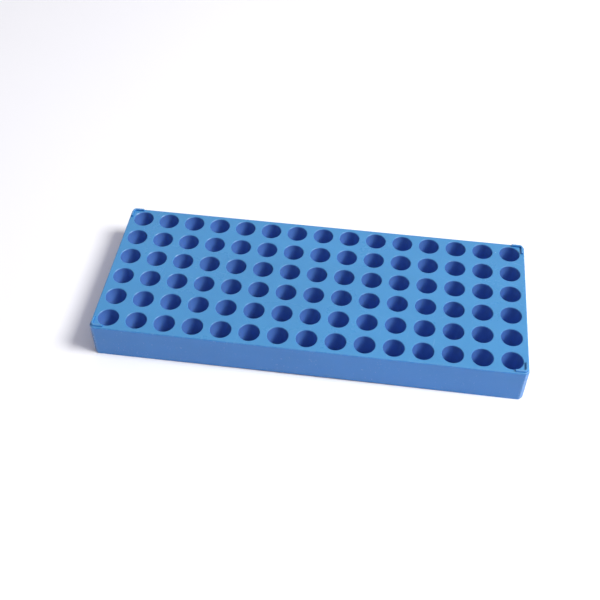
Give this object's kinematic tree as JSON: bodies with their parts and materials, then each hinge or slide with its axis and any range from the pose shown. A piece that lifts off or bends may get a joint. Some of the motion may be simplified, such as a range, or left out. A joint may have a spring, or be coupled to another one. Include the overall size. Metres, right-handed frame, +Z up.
{
  "type": "test tube rack",
  "caption": "Low moulded block rack with a grid of round wells that hold small tubes or vials upright, with corner ribs for stacking.",
  "frame": {"origin": "centre of the footprint, on the bench that the rack stands on", "axes": "+X along the rack's length, +Y across it, +Z up out of the wells"},
  "size_m": [0.2612, 0.105, 0.026],
  "materials": {
    "shell_plastic": "satin",
    "base_plastic": "satin",
    "screw_steel": "machined"
  },
  "bodies": {
    "root": {"shell": "shell_plastic", "base_plate": "base_plastic", "base_screw_1": "screw_steel", "base_screw_2": "screw_steel", "base_screw_3": "screw_steel", "base_screw_4": "screw_steel", "base_screw_5": "screw_steel", "base_screw_6": "screw_steel", "base_screw_7": "screw_steel", "base_screw_8": "screw_steel"}
  },
  "joints": []
}
